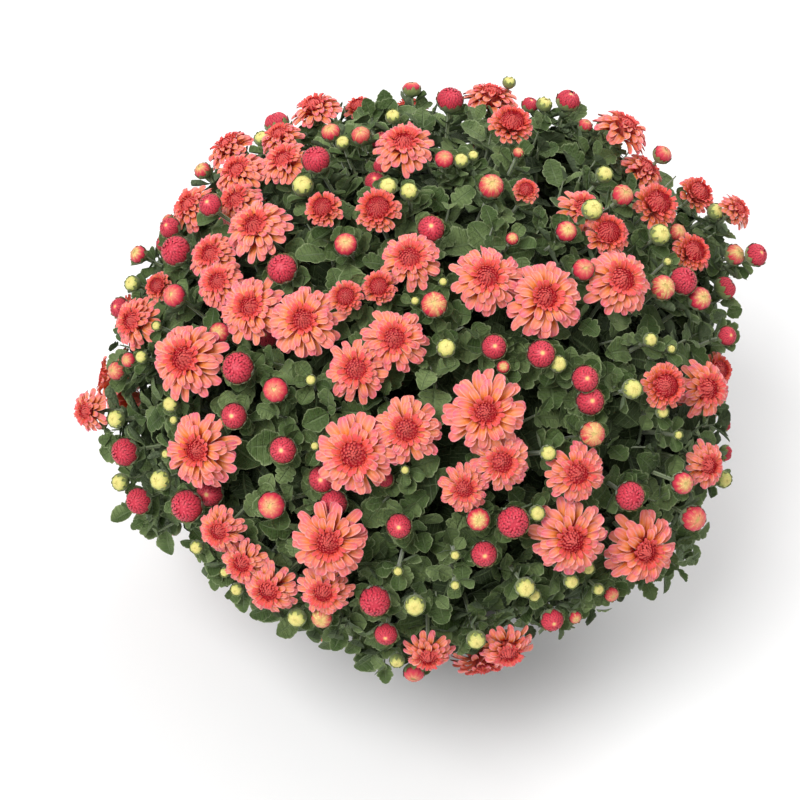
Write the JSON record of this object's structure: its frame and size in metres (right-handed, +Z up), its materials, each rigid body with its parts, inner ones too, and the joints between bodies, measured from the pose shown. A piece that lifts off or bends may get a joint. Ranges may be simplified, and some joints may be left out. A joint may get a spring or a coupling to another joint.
{
  "type": "pot chrysanthemum",
  "caption": "Flowering pot plant: a dense mound of coral chrysanthemum heads, buds and lobed leaves on branching stems, rooted in soil in a plain tapered pot.",
  "frame": {"origin": "middle of the pot's flat foot", "axes": "+Z up; the side that the picture shows faces -Y; +X is to that viewer's right"},
  "size_m": [0.3994, 0.3793, 0.3394],
  "materials": {
    "petals": "soft matt petals",
    "foliage": "downy matt leaves and stalks",
    "pot_plastic": "moulded satin",
    "potting_soil": "crumbly, damp"
  },
  "bodies": {
    "root": {"bloom_01": "petals", "bloom_02": "petals", "bloom_03": "petals", "bloom_04": "petals", "bloom_05": "petals", "bloom_06": "petals", "bloom_07": "petals", "bloom_08": "petals", "bloom_09": "petals", "bloom_10": "petals", "bloom_11": "petals", "bloom_12": "petals", "bloom_13": "petals", "bloom_14": "petals", "bloom_15": "petals", "bloom_16": "petals", "bloom_17": "petals", "bloom_18": "petals", "bloom_19": "petals", "bloom_20": "petals", "bloom_21": "petals", "bloom_22": "petals", "bloom_23": "petals", "bloom_24": "petals", "bloom_25": "petals", "bloom_26": "petals", "bloom_27": "petals", "bloom_28": "petals", "bloom_29": "petals", "bloom_30": "petals", "bloom_31": "petals", "bloom_32": "petals", "bloom_33": "petals", "bloom_34": "petals", "bloom_35": "petals", "bloom_36": "petals", "bloom_37": "petals", "bloom_38": "petals", "bloom_39": "petals", "bloom_40": "petals", "bloom_41": "petals", "bloom_42": "petals", "bloom_43": "petals", "bloom_44": "petals", "bloom_45": "petals", "bloom_46": "petals", "bloom_47": "petals", "bloom_48": "petals", "bloom_49": "petals", "bloom_50": "petals", "leafy_stem_1": "foliage", "leafy_stem_2": "foliage", "leafy_stem_3": "foliage", "leafy_stem_4": "foliage", "leafy_stem_5": "foliage", "leafy_stem_6": "foliage", "leafy_stem_top": "foliage", "pot": "pot_plastic", "potting_soil": "potting_soil"}
  },
  "joints": []
}
